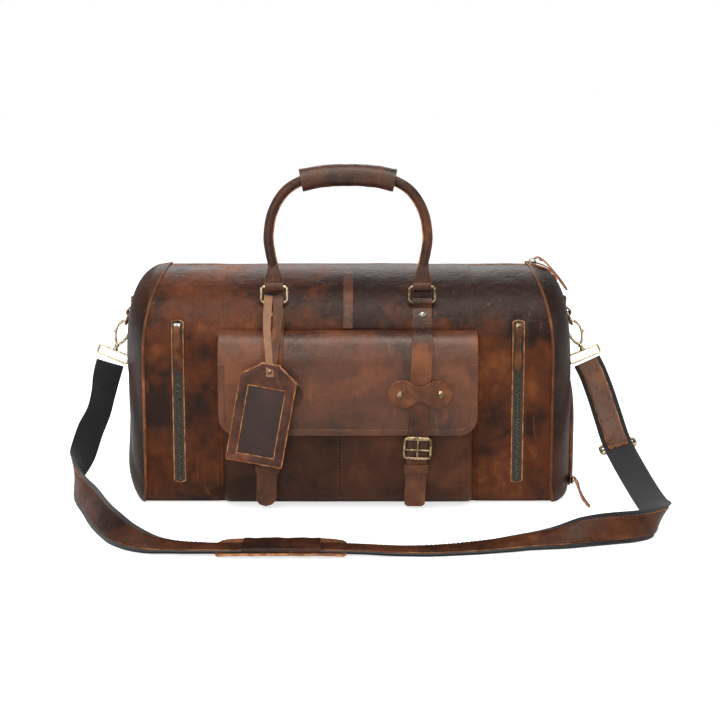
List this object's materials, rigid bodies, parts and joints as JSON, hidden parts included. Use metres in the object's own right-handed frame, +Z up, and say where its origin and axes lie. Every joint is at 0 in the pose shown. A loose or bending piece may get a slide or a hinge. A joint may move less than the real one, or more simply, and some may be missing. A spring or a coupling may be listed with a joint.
{
  "type": "duffel bag",
  "caption": "Leather weekender duffel with buckled flap pocket, zipped mouth, shoe compartment, ring-mounted handles, luggage tag and clip-on shoulder strap.",
  "frame": {"origin": "middle of the base's underside", "axes": "+X along the bag towards the shoe compartment, -Y towards the buckled front pocket, +Z up"},
  "size_m": [0.7319, 0.5147, 0.4153],
  "materials": {
    "body_leather": "waxed pull-up leather, mottled, semi-gloss",
    "trim_leather": "waxed strap leather with raw tan edges",
    "tag_leather": "waxed leather, dark window",
    "base_leather": "dark leather",
    "brass": "antique, satin",
    "zip_cloth": "woven zip tape with metal teeth",
    "lining_cloth": "woven cotton",
    "stiff_board": "matt board",
    "webbing": "black woven webbing with a leather face"
  },
  "bodies": {
    "root": {"base_panel": "base_leather", "base_board": "stiff_board", "front_panel_left": "body_leather", "front_panel_middle": "body_leather", "front_panel_right": "body_leather", "rear_panel": "body_leather", "end_panel_left": "body_leather", "end_panel_right": "body_leather", "lining": "lining_cloth", "shoe_tunnel": "lining_cloth", "pocket_body": "body_leather", "pocket_zip_left": "zip_cloth", "pocket_zip_right": "zip_cloth", "front_chape_left": "trim_leather", "front_chape_right": "trim_leather", "rear_chape_left": "trim_leather", "rear_chape_right": "trim_leather", "d_ring_tab_left": "trim_leather", "d_ring_tab_right": "trim_leather", "shoulder_strap": "webbing", "strap_slider": "brass", "strap_hook_left": "brass", "strap_hook_right": "brass"},
    "mouth_front": {"front_lip": "body_leather", "main_zip_tape_front": "zip_cloth"},
    "mouth_rear": {"rear_lip": "body_leather", "main_zip_tape_rear": "zip_cloth"},
    "main_slider": {"main_zip_slider": "brass"},
    "main_pull": {"main_zip_pull": "trim_leather"},
    "shoe_door": {"shoe_door": "body_leather"},
    "shoe_slider": {"shoe_slider": "brass"},
    "shoe_pull": {"shoe_pull": "trim_leather"},
    "flap": {"flap": "body_leather", "buckle_prong_left": "brass", "buckle_strap_left": "trim_leather", "buckle_strap_right": "trim_leather", "strap_keeper_left": "trim_leather", "strap_keeper_right": "trim_leather", "buckle_left": "brass", "buckle_right": "brass"},
    "front_rings": {"front_ring_left": "brass", "front_ring_right": "brass"},
    "front_handle": {"front_handle": "trim_leather", "front_grip": "trim_leather"},
    "rear_rings": {"rear_ring_left": "brass", "rear_ring_right": "brass"},
    "rear_handle": {"rear_handle": "trim_leather", "rear_grip": "trim_leather"},
    "tag": {"tag_panel": "tag_leather", "tag_strap": "trim_leather"},
    "shoulder_pad": {"shoulder_pad": "trim_leather"},
    "pocket_slider_left": {"pocket_slider_left": "brass"},
    "pocket_pull_left": {"pocket_pull_left": "trim_leather"},
    "d_ring_left": {"d_ring_left": "brass"},
    "hook_gate_left": {"hook_gate_left": "brass"},
    "pocket_slider_right": {"pocket_slider_right": "brass"},
    "pocket_pull_right": {"pocket_pull_right": "trim_leather"},
    "prong_right": {"buckle_prong_right": "brass"},
    "d_ring_right": {"d_ring_right": "brass"},
    "hook_gate_right": {"hook_gate_right": "brass"}
  },
  "joints": [
    {"name": "mouth_front_fold", "type": "hinge", "parent": "root", "child": "mouth_front", "pos_m": [0, -0.077, 0.2655], "axis": [-1, 0, 0], "range_deg": [-75, 0]},
    {"name": "mouth_rear_fold", "type": "hinge", "parent": "root", "child": "mouth_rear", "pos_m": [0, 0.077, 0.2655], "axis": [1, 0, 0], "range_deg": [-75, 0]},
    {"name": "main_zip_travel", "type": "slide", "parent": "root", "child": "main_slider", "axis": [-1, 0, 0], "range_m": [0, 0.45], "deforming": ["main_zip_pull"]},
    {"name": "main_pull_swing", "type": "hinge", "parent": "main_slider", "child": "main_pull", "pos_m": [0.2416, 0, 0.2907], "axis": [0, -1, 0], "range_deg": [0, 130]},
    {"name": "flap_fold", "type": "hinge", "parent": "root", "child": "flap", "pos_m": [0, -0.121, 0.2185], "axis": [-1, 0, 0], "range_deg": [0, 110]},
    {"name": "pocket_zip_travel_left", "type": "slide", "parent": "root", "child": "pocket_slider_left", "axis": [0, 0, -1], "range_m": [0, 0.165]},
    {"name": "pocket_pull_swing_left", "type": "hinge", "parent": "pocket_slider_left", "child": "pocket_pull_left", "pos_m": [-0.207, -0.1254, 0.22], "axis": [-1, 0, 0], "range_deg": [0, 110]},
    {"name": "d_ring_swing_left", "type": "hinge", "parent": "root", "child": "d_ring_left", "pos_m": [-0.2805, 0, 0.224], "axis": [0, 1, 0], "range_deg": [-5, 5]},
    {"name": "hook_gate_press_left", "type": "hinge", "parent": "root", "child": "hook_gate_left", "pos_m": [-0.30196, 0, 0.19561], "axis": [0, 1, 0], "range_deg": [0, 9], "stiffness_Nm_per_rad": 0.01},
    {"name": "pocket_zip_travel_right", "type": "slide", "parent": "root", "child": "pocket_slider_right", "axis": [0, 0, -1], "range_m": [0, 0.165]},
    {"name": "pocket_pull_swing_right", "type": "hinge", "parent": "pocket_slider_right", "child": "pocket_pull_right", "pos_m": [0.207, -0.1254, 0.22], "axis": [-1, 0, 0], "range_deg": [0, 110]},
    {"name": "prong_lift_right", "type": "hinge", "parent": "flap", "child": "prong_right", "pos_m": [0.08365, -0.1571, 0.0651], "axis": [1, 0, 0], "range_deg": [0, 100]},
    {"name": "d_ring_swing_right", "type": "hinge", "parent": "root", "child": "d_ring_right", "pos_m": [0.2805, 0, 0.224], "axis": [0, -1, 0], "range_deg": [-5, 5]},
    {"name": "hook_gate_press_right", "type": "hinge", "parent": "root", "child": "hook_gate_right", "pos_m": [0.30196, 0, 0.19561], "axis": [0, -1, 0], "range_deg": [0, 9], "stiffness_Nm_per_rad": 0.01},
    {"name": "front_ring_swing", "type": "hinge", "parent": "root", "child": "front_rings", "pos_m": [0, -0.1065, 0.2495], "axis": [-1, 0, 0], "range_deg": [-95, 10]},
    {"name": "front_handle_swing", "type": "hinge", "parent": "front_rings", "child": "front_handle", "pos_m": [0, -0.1065, 0.2687], "axis": [-1, 0, 0], "range_deg": [-40, 22]},
    {"name": "rear_ring_swing", "type": "hinge", "parent": "root", "child": "rear_rings", "pos_m": [0, 0.1065, 0.2495], "axis": [1, 0, 0], "range_deg": [0, 115]},
    {"name": "rear_handle_swing", "type": "hinge", "parent": "rear_rings", "child": "rear_handle", "pos_m": [0, 0.12505, 0.24453], "axis": [1, 0, 0], "range_deg": [0, 92]},
    {"name": "tag_swing", "type": "hinge", "parent": "root", "child": "tag", "pos_m": [-0.091, -0.1065, 0.2495], "axis": [-1, 0, 0], "range_deg": [0, 93.5]},
    {"name": "shoe_door_fold", "type": "hinge", "parent": "root", "child": "shoe_door", "pos_m": [0.2763, 0, 0.014], "axis": [0, 1, 0], "range_deg": [0, 86], "deforming": ["shoulder_strap", "strap_slider"]},
    {"name": "shoe_zip_travel", "type": "slide", "parent": "root", "child": "shoe_slider", "axis": [0, 0, 1], "range_m": [0, 0.085]},
    {"name": "shoe_pull_swing", "type": "hinge", "parent": "shoe_slider", "child": "shoe_pull", "pos_m": [0.2819, -0.087, 0.022], "axis": [-1, 0, 0], "range_deg": [0, 100]},
    {"name": "pad_slide", "type": "slide", "parent": "root", "child": "shoulder_pad", "axis": [1, 0, 0], "range_m": [-0.015, 0.008]}
  ],
  "couplings": [
    {"joint": "tag_swing", "follows": "flap_fold", "ratio": 0.85}
  ]
}
